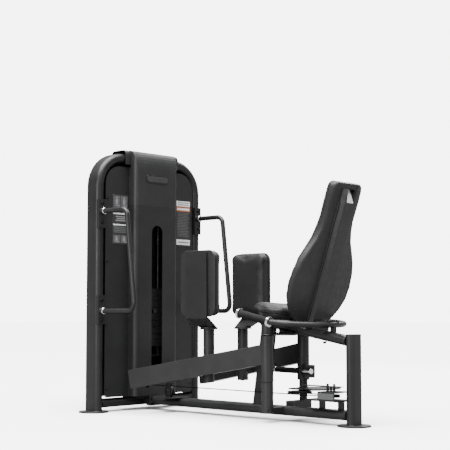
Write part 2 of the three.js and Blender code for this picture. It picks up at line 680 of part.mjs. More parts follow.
function makeArms() {
  const drop = ARM_TALL / Math.cos(ARM_SLOPE);
  const beamShape = new THREE.Shape();
  beamShape.moveTo(0, ARM_TOP_AT_PIVOT);
  beamShape.lineTo(0, ARM_TOP_AT_PIVOT - drop);
  const run = ARM_LENGTH * Math.cos(ARM_SLOPE);
  const fall = ARM_LENGTH * Math.sin(ARM_SLOPE);
  const heel = ARM_TALL * Math.sin(ARM_SLOPE);
  beamShape.lineTo(run - heel, ARM_TOP_AT_PIVOT - drop - fall + heel * Math.tan(ARM_SLOPE));
  beamShape.lineTo(run, ARM_TOP_AT_PIVOT - fall);
  const beam = alongArm(plateYZ(beamShape, -ARM_WIDE / 2, ARM_WIDE / 2));
  const hub = rod(HUB_RADIUS, PIVOT_X, PIVOT_Y, HUB_BOTTOM, HUB_TOP, 28);
  const post = rod(POST_RADIUS, POST_X, POST_Y, POST_BOTTOM, POST_TOP, 28);
  const collar = rod(48, POST_X, POST_Y, POST_TOP - 1, POST_TOP + 5, 28);
  const lug = block([POST_X + 10, POST_Y - 35, 232], [POST_X + 60, POST_Y + 35, 312]);
  const bore = rod(SHAFT_RADIUS + GAP, PIVOT_X, PIVOT_Y, 90, 500, 16);
  const swivelBore = rod(12 + GAP, POST_X, POST_Y, POST_BOTTOM + 60, POST_TOP + 10, 16);
  const leftArm = join(beam, hub, post, collar, lug);
  piece('arm_left', mirrored(cut(leftArm, bore, swivelBore)), STEEL);

  const tail = rod(22.5, PIVOT_X, PIVOT_Y, 170 + GAP, HUB_BOTTOM + 1, 24);
  const ears = [[222, 234], [276, 288]].map(([z0, z1]) => alongArm(block([-62, -112, z0], [-18, -84, z1])));
  const web = alongArm(block([-30, -112, 222], [-18, -20, 288]));
  const guide = alongArm(block([-60, -44, 240], [-20, -32, 270]));
  const guideBore = alongArm(bar(8 + GAP, [-48, -60, 255], [-48, -20, 255], 16));
  piece('arm_right', cut(join(leftArm, tail, ...ears, web, guide), bore, swivelBore, guideBore), STEEL);

  const onPlunger = (radius, from, to) => bar(radius, [-48, from, 255], [-48, to, 255], 20);
  const plunger = join(onPlunger(8, -116, 172), onPlunger(14, -116, -104), onPlunger(15.5, 160 + GAP, 186));
  piece('start_plunger', alongArm(plunger), CHROME);
  piece('start_grip', alongArm(cut(onPlunger(15.5, -25, 160), onPlunger(8 + GAP, -60, 190))), RUBBER);
}

// involute half-thickness angle of a tooth at radius r
function toothHalf(r, pitch, thin) {
  const pressure = Math.PI / 9;
  const at = Math.acos(Math.min(1, (pitch * Math.cos(pressure)) / r));
  const inv = (a) => Math.tan(a) - a;
  return Math.PI / (2 * GEAR_TEETH) - thin / pitch + inv(pressure) - inv(at);
}

// toothed sector about the origin; tooth `first` to tooth `last`, shifted by part of a pitch
function gearSector(first, last, shift) {
  const pitch = PIVOT_X;
  const step = (2 * Math.PI) / GEAR_TEETH;
  const radii = [pitch - 3.75, pitch - 1.8, pitch, pitch + 1.4, pitch + 2.7];
  const shape = new THREE.Shape();
  const at = (r, a) => [r * Math.cos(a), r * Math.sin(a)];
  const begin = (first + shift - 0.5) * step;
  const end = (last + shift + 0.5) * step;
  shape.moveTo(...at(20, begin));
  shape.lineTo(...at(pitch - 3.75, begin));
  for (let k = first; k <= last; k += 1) {
    const middle = (k + shift) * step;
    radii.forEach((r) => shape.lineTo(...at(r, middle - toothHalf(r, pitch, 0.1))));
    radii.toReversed().forEach((r) => shape.lineTo(...at(r, middle + toothHalf(r, pitch, 0.1))));
  }
  shape.lineTo(...at(pitch - 3.75, end));
  shape.lineTo(...at(20, end));
  return plateXY(shape, GEAR_Z, GEAR_Z + GEAR_THICK);
}

function makePivots() {
  const boreAt = (x) => rod(SHAFT_RADIUS + GAP, x, PIVOT_Y, 0, 900, 16);
  const disc = (x) => rod(34, x, PIVOT_Y, GEAR_Z, GEAR_Z + GEAR_THICK, 24);
  const left = gearSector(-15, 1, 0).translate(-PIVOT_X, PIVOT_Y, 0);
  const right = gearSector(-2, 14, 0.5).rotateZ(Math.PI).translate(PIVOT_X, PIVOT_Y, 0);
  piece('sync_gear_left', cut(join(left, disc(-PIVOT_X)), boreAt(-PIVOT_X)), STEEL);
  piece('sync_gear_right', cut(join(right, disc(PIVOT_X)), boreAt(PIVOT_X)), STEEL);

  const low = PIVOT_PLATE_Z;
  const plate = block([-PIVOT_X, PIVOT_Y - 28, low], [PIVOT_X, PIVOT_Y + 28, low + 6]);
  const caps = [-PIVOT_X, PIVOT_X].map((x) => rod(31, x, PIVOT_Y, low, 506, 28));
  const weld = block([-20, PIVOT_Y - 12, low + 3], [20, PIVOT_Y + 28, 500]);
  const roof = block([-200, -300, 0], [200, 300, 300]);
  roof.rotateX(TUBE_TILT).translate(0, SEAT_TUBE_AT, SEAT_TUBE_BOTTOM - GAP);
  const bores = [-PIVOT_X, PIVOT_X].map((x) => rod(SHAFT_RADIUS + GAP, x, PIVOT_Y, low - 1, 490, 16));
  piece('pivot_top_plate', cut(join(join(plate, ...caps), cut(weld, roof)), ...bores), STEEL);
  piece('pivot_shaft_left', rod(SHAFT_RADIUS, -PIVOT_X, PIVOT_Y, HUB_BOTTOM - 1.5 + GAP, 489, 16), STEEL);
  const longShaft = rod(SHAFT_RADIUS, PIVOT_X, PIVOT_Y, 100 + GAP, 489, 16);
  const footCollar = rod(21, PIVOT_X, PIVOT_Y, 100 + GAP, CABLE_Z - 7.5, 20);
  piece('pivot_shaft_right', join(longShaft, footCollar), STEEL);

  const cam = new THREE.Shape();
  const camArc = (radius, from, to) => cam.absarc(0, 0, radius, from, to);
  cam.moveTo(0, 40);
  camArc(112, Math.PI * 0.97, Math.PI * 1.22);
  camArc(198, Math.PI * 1.3, Math.PI * 1.72);
  cam.lineTo(40, 0);
  const upper = plateXY(cam, 160, 167, 10);
  const rimSector = (radius, z0, z1) => {
    const s = new THREE.Shape();
    s.moveTo(0, 20);
    s.absarc(0, 0, radius, Math.PI * 0.99, Math.PI * 1.34);
    s.lineTo(20, 0);
    return plateXY(s, z0, z1, 14);
  };
  const floor = CAM_RADIUS - CABLE_RADIUS - GAP;
  const lips = CAM_RADIUS + 4;
  const groove = [
    rimSector(lips, CABLE_Z - 7, CABLE_Z - 3.4), rimSector(floor, CABLE_Z - 4, CABLE_Z + 4),
    rimSector(lips, CABLE_Z + 3.4, CABLE_Z + 7),
  ];
  const boss = rod(26, 0, 0, CABLE_Z - 7, 170, 24);
  const bore = rod(SHAFT_RADIUS + GAP, 0, 0, 90, 200, 16);
  const whole = cut(join(upper, ...groove, boss), bore).translate(PIVOT_X, PIVOT_Y, 0);
  piece('cam_plate', whole, STEEL);
}

// a rounded slab standing in the Y-Z plane between two X values, its x0 or x1 edge softened
function slab(x0, x1, round, bevel) {
  const shape = roundedRect(
    POST_Y - PAD_HALF_WIDE + bevel, PAD_BOTTOM + bevel, POST_Y + PAD_HALF_WIDE - bevel, PAD_TOP - bevel, round);
  const body = new THREE.ExtrudeGeometry(shape, {
    depth: x1 - x0 - 2 * bevel, bevelEnabled: true, bevelSize: bevel, bevelThickness: bevel,
    bevelSegments: 3, curveSegments: 4,
  });
  const axes = new THREE.Matrix4().set(0, 0, 1, x0 + bevel, 1, 0, 0, 0, 0, 1, 0, 0, 0, 0, 0, 1);
  return toGeometry(toSolid(body.applyMatrix4(axes)));
}

function makePads() {
  pair('pad_foam', slab(PAD_INNER, PAD_OUTER - PAD_SHELL - GAP, 30, 15), HIDE);
  pair('pad_shell', slab(PAD_OUTER - PAD_SHELL, PAD_OUTER, 41, 4), MOULDED);
  const ring = ([x0, x1, half, z]) => [[x0, -half], [x1, -half], [x1, half], [x0, half]].map(
    ([x, y]) => new THREE.Vector3(x, POST_Y + y, z));
  const plate = PAD_OUTER + GAP;
  const web = skin([
    [POST_X - 24, POST_X + 34, 38, POST_TOP + 10], [plate - 20, plate + 13, 74, PAD_BOTTOM - 10],
    [plate, plate + 12, 78, PAD_BOTTOM - 1], [plate, plate + 12, 82, PAD_BOTTOM + 12],
    [plate, plate + 10, 77, PAD_TOP - 16],
  ].map(ring));
  const flange = rod(47, POST_X, POST_Y, POST_TOP + 5 + GAP, POST_TOP + 11, 28);
  const spindle = rod(12, POST_X, POST_Y, POST_BOTTOM + 62, POST_TOP + 8, 16);
  pair('pad_bracket', join(web, flange, spindle), STEEL);
}

// ---------------------------------------------------------------- seat, back and hand bar
const seat = new THREE.Group();
seat.position.set(0, TOWER_Y - 1050, 565);
seat.rotation.x = SEAT_TILT;
machine.add(seat);

// plan outline of the seat, nose towards +Y
function seatOutline(inset) {
  const shape = new THREE.Shape();
  const back = -165 + inset;
  const wide = 188 - inset;
  const nose = 160 - inset;
  shape.moveTo(-wide + 70, back);
  shape.lineTo(wide - 70, back);
  shape.bezierCurveTo(wide - 20, back, wide, back + 30, wide, back + 85);
  shape.bezierCurveTo(wide, -10, 96 - inset, 50, 66 - inset, 108);
  shape.quadraticCurveTo(50 - inset, nose, 0, nose);
  shape.quadraticCurveTo(-50 + inset, nose, -66 + inset, 108);
  shape.bezierCurveTo(-96 + inset, 50, -wide, -10, -wide, back + 85);
  shape.bezierCurveTo(-wide, back + 30, -wide + 20, back, -wide + 70, back);
  return shape;
}

// the seat outline as one level ring
function seatRing(inset, z) {
  const points = seatOutline(inset).getPoints(6);
  points.pop();
  return points.map((p) => new THREE.Vector3(p.x, p.y, z));
}

const BACK_POINTS = [            // height up the back, half width
  [0, 120], [28, 158], [70, 196], [125, 224], [190, 232], [262, 224], [320, 204], [372, 176],
  [430, 141], [485, 122], [540, 112], [640, 115], [700, 113], [722, 105], [733, 92],
];

const back = new THREE.Group();
back.position.set(0, TOWER_Y - 1249, 524);
back.rotation.x = BACK_LEAN;
machine.add(back);

// outline rings up the back: a section for each half width
function backSkin(section) {
  return skin(BACK_POINTS.map(([z, half]) => section(half, z).map(([x, y]) => new THREE.Vector3(x, y, z))));
}

function makeSeat() {
  const body = skin([
    seatRing(8, 0), seatRing(0, 9), seatRing(0, SEAT_THICK - 18),
    seatRing(6, SEAT_THICK - 8), seatRing(16, SEAT_THICK - 2), seatRing(28, SEAT_THICK)]);
  piece('seat_cushion', body, HIDE, seat);
  const pan = skin([
    seatRing(46, -PAN_DEEP), seatRing(30, -PAN_DEEP + 5), seatRing(18, -9), seatRing(18, -GAP)]);
  piece('seat_board', pan, MOULDED, seat);
  seat.updateMatrix();
  const overPan = block([-300, -400, -PAN_DEEP - GAP], [300, 400, 300]).applyMatrix4(seat.matrix);
  const wedge = block([-60, TOWER_Y - 1180, 470], [60, TOWER_Y - 962, 640]);
  piece('seat_bracket', cut(wedge, overPan, belowTubeTop()), STEEL);

  const pad = backSkin((w) => [
    [-w, -1], [w, -1], [w, 14], [w - 14, 32], [w / 2, 36], [-w / 2, 36], [-w + 14, 32], [-w, 14]]);
  piece('back_cushion', pad, HIDE, back);

  const shell = backSkin((w) => [
    [w, -1 - GAP], [-w, -1 - GAP], [-w, -26], [-w + 6, -32], [-54, -40], [-45, -66], [45, -66], [54, -40],
    [w - 6, -32], [w, -26]]);
  // finger recess at the top of the spine, its floor sloping forwards as it rises
  const ring = (half, inner, z) => [[-half, inner], [half, inner], [half, -95], [-half, -95]].map(
    ([x, y]) => new THREE.Vector3(x, y, z));
  const recess = skin([ring(28, -65, 638), ring(46, -14, 704)]);
  const lip = block([-62, -95, 703.9], [62, -36, 745]);
  piece('back_shell', cut(shell, recess, lip), MOULDED, back);
}

// everything under the top face of the seat tube
function belowTubeTop() {
  const body = block([-200, -500, -300], [200, 400, FRAME_TUBE.short + GAP]);
  return body.rotateX(TUBE_TILT).translate(0, SEAT_TUBE_AT, SEAT_TUBE_BOTTOM);
}

function makeBackBracket() {
  back.updateMatrix();
  const plate = block([-32, -75, -40], [32, -66 - GAP, 20]).applyMatrix4(back.matrix);
  const foot = block([-32, TOWER_Y - 1356, 460], [32, TOWER_Y - 1308, 492]);
  piece('back_bracket', cut(join(plate, foot), belowTubeTop()), STEEL);
}

function makeHandBar() {
  const gripX = 235;
  const barRadius = 15;
  const rearBend = 215;
  const front = new THREE.Vector3(gripX, TOWER_Y - 974, 558);
  const rear = new THREE.Vector3(gripX, TOWER_Y - 1195, 512);
  const half = [front, rear];
  for (let i = 1; i <= 9; i += 1) {
    const angle = (i / 9) * (Math.PI / 2);
    half.push(new THREE.Vector3(
      gripX * Math.cos(angle), rear.y - rearBend * Math.sin(angle), rear.z - 13 * Math.sin(angle)));
  }
  const other = half.slice(0, -1).reverse().map((p) => new THREE.Vector3(-p.x, p.y, p.z));
  const tube = cord([...half, ...other], barRadius, 12);
  const saddleY = rear.y - rearBend;
  const saddleTop = rear.z - 13;
  const saddle = block([-10, saddleY - 12, tubeUnderside(saddleY) + 30], [10, saddleY + 12, saddleTop]);
  piece('hand_bar', join(tube, cut(saddle, belowTubeTop())), STEEL);
  const along = rear.clone().sub(front).normalize();
  const start = front.clone().addScaledVector(along, 16);
  const end = rear.clone().addScaledVector(along, -16);
  const sleeve = bar(20, start.toArray(), end.toArray(), 20);
  const hole = bar(barRadius + GAP, front.clone().addScaledVector(along, -20).toArray(),
    rear.clone().addScaledVector(along, 20).toArray(), 16);
  pair('hand_grip', cut(sleeve, hole), RUBBER);
}

makeTowerFrame();
makeBase();
makeSeatFrame();
makeFrontShroud();
makeRearShroud();
makeHood();
makeTowerHandles();
makeWeights();
makePulleys();
makeCable();
makeArms();
makePivots();
makePads();
makeSeat();
makeBackBracket();
makeHandBar();

export default machine;
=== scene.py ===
import bpy
import bmesh
import math
import numpy as np
from mathutils import Matrix, Vector


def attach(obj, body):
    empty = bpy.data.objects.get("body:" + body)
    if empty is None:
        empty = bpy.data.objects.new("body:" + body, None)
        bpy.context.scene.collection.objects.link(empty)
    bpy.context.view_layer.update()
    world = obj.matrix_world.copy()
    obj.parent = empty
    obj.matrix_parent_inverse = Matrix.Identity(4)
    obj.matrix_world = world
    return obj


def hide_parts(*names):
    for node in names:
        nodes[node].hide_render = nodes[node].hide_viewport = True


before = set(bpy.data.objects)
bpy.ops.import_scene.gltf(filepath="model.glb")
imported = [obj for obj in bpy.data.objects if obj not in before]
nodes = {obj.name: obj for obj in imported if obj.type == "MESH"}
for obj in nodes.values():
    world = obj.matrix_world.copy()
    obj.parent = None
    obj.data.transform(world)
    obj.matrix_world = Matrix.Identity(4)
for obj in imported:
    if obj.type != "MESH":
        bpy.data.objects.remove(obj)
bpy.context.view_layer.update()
scene = bpy.context.scene
SIDES = (("right", 1), ("left", -1))    # a name, and the sign of its x


# ------------------------------------------------------------------ camera
def make_camera():
    data = bpy.data.cameras.new("camera")
    data.sensor_width = 36
    data.lens = 89.86
    data.clip_end = 60
    camera = bpy.data.objects.new("camera", data)
    camera.location = (-4.4835, -4.1640, 0.5727)
    camera.rotation_euler = (math.radians(94.335), 0, math.radians(-46.361))
    scene.collection.objects.link(camera)
    scene.camera = camera


make_camera()


# ------------------------------------------------------------------ materials
class Shader:
    """A node tree around one Principled shader, with short ways to add to it."""

    def __init__(self, name, roughness=0.5, metallic=0.0):
        self.material = bpy.data.materials.new(name)
        self.material.use_nodes = True
        self.nodes = self.material.node_tree.nodes
        self.links = self.material.node_tree.links
        self.skin = self.nodes["Principled BSDF"]
        self.skin.inputs["Roughness"].default_value = roughness
        self.skin.inputs["Metallic"].default_value = metallic
        self.place = self.nodes.new("ShaderNodeTexCoord").outputs["Object"]

    def noise(self, scale, detail=2.0):
        node = self.nodes.new("ShaderNodeTexNoise")
        node.inputs["Scale"].default_value = scale
        node.inputs["Detail"].default_value = detail
        self.links.new(self.place, node.inputs["Vector"])
        return node.outputs["Fac"]

    def cells(self, scale, feature="F1", randomness=1.0):
        node = self.nodes.new("ShaderNodeTexVoronoi")
        node.feature = feature
        node.inputs["Scale"].default_value = scale
        node.inputs["Randomness"].default_value = randomness
        self.links.new(self.place, node.inputs["Vector"])
        return node.outputs["Distance"]

    def spread(self, value, low, high, to_low=0.0, to_high=1.0):
        node = self.nodes.new("ShaderNodeMapRange")
        limits = {"From Min": low, "From Max": high, "To Min": to_low, "To Max": to_high}
        for name, number in limits.items():
            node.inputs[name].default_value = number
        self.links.new(value, node.inputs["Value"])
        return node.outputs["Result"]

    def colour(self, mask, dark, light):
        node = self.nodes.new("ShaderNodeMix")
        node.data_type = "RGBA"
        node.inputs[6].default_value = (*dark, 1)
        node.inputs[7].default_value = (*light, 1)
        self.links.new(mask, node.inputs[0])
        self.links.new(node.outputs[2], self.skin.inputs["Base Color"])
        return node.outputs[2]

    def rough(self, mask, low, high):
        self.links.new(self.spread(mask, 0.3, 0.7, low, high), self.skin.inputs["Roughness"])

    def bump(self, height, depth, strength=1.0):
        node = self.nodes.new("ShaderNodeBump")
        node.inputs["Strength"].default_value = strength
        node.inputs["Distance"].default_value = depth
        self.links.new(height, node.inputs["Height"])
        before = self.skin.inputs["Normal"]
        if before.is_linked:
            self.links.new(before.links[0].from_socket, node.inputs["Normal"])
        self.links.new(node.outputs["Normal"], self.skin.inputs["Normal"])


def grey(value):
    return (value, value, value * 1.03)


def painted(name, low, high, roughness=0.42):
    """Powder coat: faint orange peel, slow changes of tone."""
    s = Shader(name, roughness)
    s.colour(s.spread(s.noise(7, 3), 0.35, 0.65), grey(low), grey(high))
    s.rough(s.noise(23, 4), roughness - 0.05, roughness + 0.06)
    s.bump(s.noise(520, 2), 0.00012, 0.5)
    s.skin.inputs["Specular IOR Level"].default_value = 0.28
    return s.material


def leather(name, low, high):
    """Synthetic leather: pebbled grain over soft creases."""
    s = Shader(name, 0.5)
    s.colour(s.spread(s.noise(9, 4), 0.35, 0.65), grey(low), grey(high))
    s.rough(s.noise(60, 3), 0.44, 0.56)
    s.bump(s.cells(520, "SMOOTH_F1"), 0.00035, 0.45)
    s.bump(s.noise(38, 3), 0.0012, 0.18)
    s.skin.inputs["Specular IOR Level"].default_value = 0.24
    s.skin.inputs["Sheen Weight"].default_value = 0.03
    s.skin.inputs["Sheen Roughness"].default_value = 0.45
    return s.material


def moulded(name, low, high):
    """Textured plastic."""
    s = Shader(name, 0.48)
    s.colour(s.spread(s.noise(12, 3), 0.35, 0.65), grey(low), grey(high))
    s.rough(s.noise(40, 3), 0.42, 0.55)
    s.bump(s.noise(900, 2), 0.00012, 0.5)
    s.skin.inputs["Specular IOR Level"].default_value = 0.3
    return s.material


def rubber(name, low, high, shine):
    s = Shader(name, 0.75)
    s.colour(s.spread(s.noise(30, 4), 0.35, 0.65), grey(low), grey(high))
    s.bump(s.cells(380, "F1"), 0.0003, 0.4)
    s.skin.inputs["Specular IOR Level"].default_value = shine
    return s.material


def chrome(name, low=0.72, high=0.82, roughness=0.14):
    s = Shader(name, roughness, 1.0)
    s.colour(s.spread(s.noise(20, 3), 0.4, 0.6), grey(low), grey(high))
    s.rough(s.noise(90, 4), roughness - 0.04, roughness + 0.06)
    return s.material


def tinted(name, dark, light):
    """Printed film over plastic."""
    s = Shader(name, 0.4)
    s.colour(s.spread(s.noise(12, 3), 0.35, 0.65), dark, light)
    s.rough(s.noise(40, 3), 0.34, 0.46)
    return s.material


def iron(name):
    s = Shader(name, 0.6)
    s.colour(s.spread(s.noise(14, 5), 0.35, 0.65), grey(0.003), grey(0.006))
    s.bump(s.noise(160, 5), 0.0006, 0.5)
    return s.material


# A lighter copy of the black powder coat. This is painted light: it makes the lit faces of the arms and base
# rail brighter.
LIT_STEEL = painted("powder_coat_painted_lit", 0.0095, 0.0125, 0.38)
STEEL = painted("powder_coat", 0.0055, 0.0075, 0.38)
COVER = painted("cover_coat", 0.0068, 0.0090, 0.44)
# A lighter copy of the cover paint for the top hood. This is painted light: the hood has the covers' colour,
# but its bend catches more light.
HOOD_PAINTED_LIT = painted("hood_coat_painted_lit", 0.0095, 0.0120, 0.44)
HIDE = leather("upholstery", 0.0065, 0.0090)
MOULDED = moulded("textured_plastic", 0.0060, 0.0080)
RUBBER = rubber("grip_rubber", 0.004, 0.006, 0.1)
CHROME = chrome("chrome")
SHEATH = rubber("cable_sheath", 0.001, 0.002, 0.05)
IRON = iron("cast_iron")
NYLON = moulded("turned_nylon", 0.003, 0.005)
PIPING = leather("piping", 0.003, 0.005)
BOLT = chrome("black_oxide", 0.02, 0.03, 0.35)
RODS = chrome("ground_rod", 0.10, 0.14, 0.3)
BADGE = moulded("badge_plastic", 0.002, 0.003)
BADGE_FACE = moulded("badge_face", 0.016, 0.022)
PAPER_DARK = moulded("placard_dark", 0.014, 0.018)
PAPER_MID = moulded("placard_mid", 0.050, 0.065)
PAPER_GREY = moulded("placard_grey", 0.12, 0.16)
PAPER_LIGHT = moulded("placard_light", 0.46, 0.54)
BAND = tinted("placard_band", (0.24, 0.075, 0.02), (0.28, 0.09, 0.03))
# Pale plastic for the recess floor. This is a painted highlight that stands in for light falling on that
# floor.
RECESS_PAINTED_HIGHLIGHT = moulded("recess_painted_highlight", 0.30, 0.36)
GUARD = painted("guard_coat", 0.05, 0.06, 0.42)


# ------------------------------------------------------------------ the CAD nodes
def dress(names, material, bevel=0.0012, angle=32, segments=2):
    """Gives CAD nodes a material and eased edges, without changing their vertices."""
    for name in names:
        node = nodes[name]
        mesh = node.data
        mesh.materials.clear()
        mesh.materials.append(material)
        if "custom_normal" in mesh.attributes:
            mesh.attributes.remove(mesh.attributes["custom_normal"])
        mesh.polygons.foreach_set("use_smooth", [True] * len(mesh.polygons))
        weld = node.modifiers.new("weld", "WELD")
        weld.merge_threshold = 0.00002
        if bevel:
            ease = node.modifiers.new("ease", "BEVEL")
            ease.width = bevel
            ease.segments = segments
            ease.limit_method = "ANGLE"
            ease.angle_limit = math.radians(angle)
            ease.harden_normals = True
            ease.use_clamp_overlap = True
        even = node.modifiers.new("even", "WEIGHTED_NORMAL")
        even.keep_sharp = True


dress(["tower_frame", "tower_cross_rail", "rear_column", "seat_tube", "seat_column"], STEEL, 0.002)
dress(["base_rail"], LIT_STEEL, 0.002)
dress(["tower_handle_left", "tower_handle_right", "hand_bar"], STEEL, 0.001)
dress(["stack_base", "top_pulley_bracket", "bottom_pulley_bracket", "entry_pulley_bracket"], STEEL)
dress(["turn_pulley_bracket", "pivot_top_plate", "back_bracket", "seat_bracket", "cam_plate"], STEEL)
# The arms get the lighter, painted-light copy of the powder coat.
dress(["arm_left", "arm_right"], LIT_STEEL, 0.003)
dress(["sync_gear_left", "sync_gear_right"], STEEL, 0)
dress(["pad_bracket_left", "pad_bracket_right"], STEEL, 0.0015)
dress(["front_shroud", "rear_shroud"], COVER, 0.0008)
# The hood gets the lighter, painted-light copy of the cover paint.
dress(["top_hood"], HOOD_PAINTED_LIT, 0.0008)
dress(["start_plunger"], CHROME, 0.0006)
dress(["guide_rod_left", "guide_rod_right", "lift_stem"], RODS, 0.0006)
dress(["selector_pin"], BOLT, 0.0006)
dress(["pivot_shaft_left", "pivot_shaft_right"], STEEL, 0.0006)
dress(["weight_head"] + ["weight_plate_%d" % i for i in range(1, 9)], IRON, 0.002)
dress(["top_pulley", "bottom_pulley", "entry_pulley", "turn_pulley"], NYLON, 0)
dress(["pull_cable"], SHEATH, 0)
dress(["seat_board", "back_shell", "pad_shell_left", "pad_shell_right"], MOULDED, 0.002)
dress(["hand_grip_left", "hand_grip_right", "start_grip"], RUBBER, 0.003, 40, 3)


# ------------------------------------------------------------------ soft pieces
SEAT_FRAME = Matrix.Translation((0, -0.282, 0.565)) @ Matrix.Rotation(math.radians(5), 4, "X")
BACK_FRAME = Matrix.Translation((0, -0.481, 0.524)) @ Matrix.Rotation(math.radians(19.4), 4, "X")
PAD_BACK_X = 0.2127               # the plane on which the right pad's foam meets its shell
SEAT_SEAMS = (0.006, 0.027)       # heights of the seams above each cushion's base
BACK_SEAMS = (0.007, 0.026)
PAD_SEAMS = (0.006, 0.034)
PIPING_RADIUS = 0.0019
PIPING_POINTS = 240
PRESSED_FRAMES = 20               # steps for which the cloth is blown up


def points_of(mesh):
    flat = np.empty(len(mesh.vertices) * 3)
    mesh.vertices.foreach_get("co", flat)
    return flat.reshape(-1, 3)


def set_points(mesh, points):
    mesh.vertices.foreach_set("co", np.asarray(points, dtype=np.float32).ravel())
    mesh.update()


def normals_of(mesh):
    flat = np.empty(len(mesh.vertices) * 3)
    mesh.vertices.foreach_get("normal", flat)
    return flat.reshape(-1, 3)


def ramp(value, low, high):
    t = np.clip((value - low) / (high - low), 0, 1)
    return t * t * (3 - 2 * t)


def neighbour_mean(mesh, values, rounds):
    """Averages each vertex's values with those of the vertices next to it, this many times."""
    ends = np.empty(len(mesh.edges) * 2, dtype=np.int64)
    mesh.edges.foreach_get("vertices", ends)
    a, b = ends.reshape(-1, 2).T
    count = np.bincount(ends, minlength=len(mesh.vertices))[:, None]
    for _ in range(rounds):
        total = np.zeros_like(values)
        np.add.at(total, a, values[b])
        np.add.at(total, b, values[a])
        values = (values + total / count) / 2
    return values


def bake(obj):
    """Replaces the object's mesh by what its modifiers make of it."""
    shown = obj.evaluated_get(bpy.context.evaluated_depsgraph_get())
    mesh = bpy.data.meshes.new_from_object(shown)
    obj.modifiers.clear()
    obj.data = mesh
    return mesh


class Cushion:
    """A stuffed piece blown up from a CAD solid.

    base is the plane that it rests on: a point and a direction.
    """

    def __init__(self, name, node, base, voxel, shrink, cap):
        source = nodes[node]
        mesh = source.data.copy()
        mesh.transform(source.matrix_world)
        self.obj = bpy.data.objects.new(name, mesh)
        scene.collection.objects.link(self.obj)
        self.at, self.out = (np.array(v) for v in base)
        self.cap = cap
        weld = self.obj.modifiers.new("weld", "WELD")
        weld.merge_threshold = 0.00002
        grid = self.obj.modifiers.new("grid", "REMESH")
        grid.mode = "VOXEL"
        grid.voxel_size = voxel
        mesh = bake(self.obj)
        points = neighbour_mean(mesh, points_of(mesh), 5)
        set_points(mesh, points)
        height = self.height(points)
        inward = ramp(height, 0.002, 0.014) * shrink
        set_points(mesh, points - normals_of(mesh) * inward[:, None])
        self.rest = points_of(mesh)

    def height(self, points):
        return (points - self.at) @ self.out

    def start(self):
        pin = self.obj.vertex_groups.new(name="pin")
        hold = 1 - ramp(self.height(self.rest), 0.001, 0.008)
        for i, weight in enumerate(hold):
            if weight > 0:
                pin.add([i], float(weight), "REPLACE")
        cloth = self.obj.modifiers.new("cloth", "CLOTH")
        cloth.settings.quality = 5
        cloth.settings.mass = 0.25
        cloth.settings.tension_stiffness = 12
        cloth.settings.compression_stiffness = 12
        cloth.settings.shear_stiffness = 6
        cloth.settings.bending_stiffness = 0.6
        cloth.settings.use_pressure = True
        cloth.settings.uniform_pressure_force = 4
        cloth.settings.vertex_group_mass = "pin"
        cloth.settings.effector_weights.gravity = 0
        cloth.collision_settings.use_collision = False
        cloth.collision_settings.use_self_collision = False
        cloth.point_cache.frame_start = 1
        cloth.point_cache.frame_end = PRESSED_FRAMES

    def settle(self):
        shown = self.obj.evaluated_get(bpy.context.evaluated_depsgraph_get())
        blown = points_of(shown.data)
        move = blown - self.rest
        size = np.linalg.norm(move, axis=1)
        move *= np.minimum(1, self.cap / np.maximum(size, 1e-9))[:, None]
        move = neighbour_mean(self.obj.data, move, 14)
        self.obj.modifiers.clear()
        self.obj.vertex_groups.clear()
        points = self.rest + move
        under = self.height(points)
        low = np.minimum(0.0004 - under, 0.004) * (under < 0.0004)
        set_points(self.obj.data, points + low[:, None] * self.out)

    def refine(self):
        smooth = self.obj.modifiers.new("finer", "SUBSURF")
        smooth.levels = smooth.render_levels = 1
        bake(self.obj)

    def groove(self, levels, depth, width):
        """Pulls the cover in along seams that run round the cushion at these heights above its base."""
        mesh = self.obj.data
        points = points_of(mesh)
        height = self.height(points)
        normals = normals_of(mesh)
        side = 1 - np.abs(normals @ self.out) ** 2
        pull = sum(np.exp(-(((height - level) / width) ** 2)) for level in levels) * depth * side
        set_points(mesh, points - normals * pull[:, None])

    def loop(self, level):
        """The closed line in which a plane parallel to the base cuts the cushion."""
        work = bmesh.new()
        work.from_mesh(self.obj.data)
        plane = Vector(self.at + self.out * level)
        cut = bmesh.ops.bisect_plane(
            work,
            geom=work.verts[:] + work.edges[:] + work.faces[:],
            plane_co=plane,
            plane_no=Vector(self.out),
        )
        edges = [e for e in cut["geom_cut"] if isinstance(e, bmesh.types.BMEdge)]
        step = {}
        for edge in edges:
            a, b = edge.verts
            step.setdefault(a, []).append(b)
            step.setdefault(b, []).append(a)
        best = []
        left = set(step)
        while left:
            first = min(left, key=lambda v: v.index)
            path = [first]
            left.discard(first)
            while True:
                ahead = [v for v in step[path[-1]] if v in left]
                if not ahead:
                    break
                path.append(ahead[0])
                left.discard(ahead[0])
            if len(path) > len(best):
                best = path
        line = [v.co.copy() for v in best]
        work.free()
        return line


def even_out(line, count, rounds=2):
    """count points at equal steps along a closed line, a little smoothed."""
    points = np.array([tuple(p) for p in line])
    closed = np.vstack([points, points[:1]])
    run = np.concatenate([[0], np.cumsum(np.linalg.norm(np.diff(closed, axis=0), axis=1))])
    want = np.linspace(0, run[-1], count, endpoint=False)
    even = np.column_stack([np.interp(want, run, closed[:, k]) for k in range(3)])
    for _ in range(rounds):
        even = (np.roll(even, 1, 0) + 2 * even + np.roll(even, -1, 0)) / 4
    return even


def new_piece(name, mesh, material, body):
    piece = bpy.data.objects.new(name, mesh)
    scene.collection.objects.link(piece)
    mesh.materials.append(material)
    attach(piece, body)
    return piece


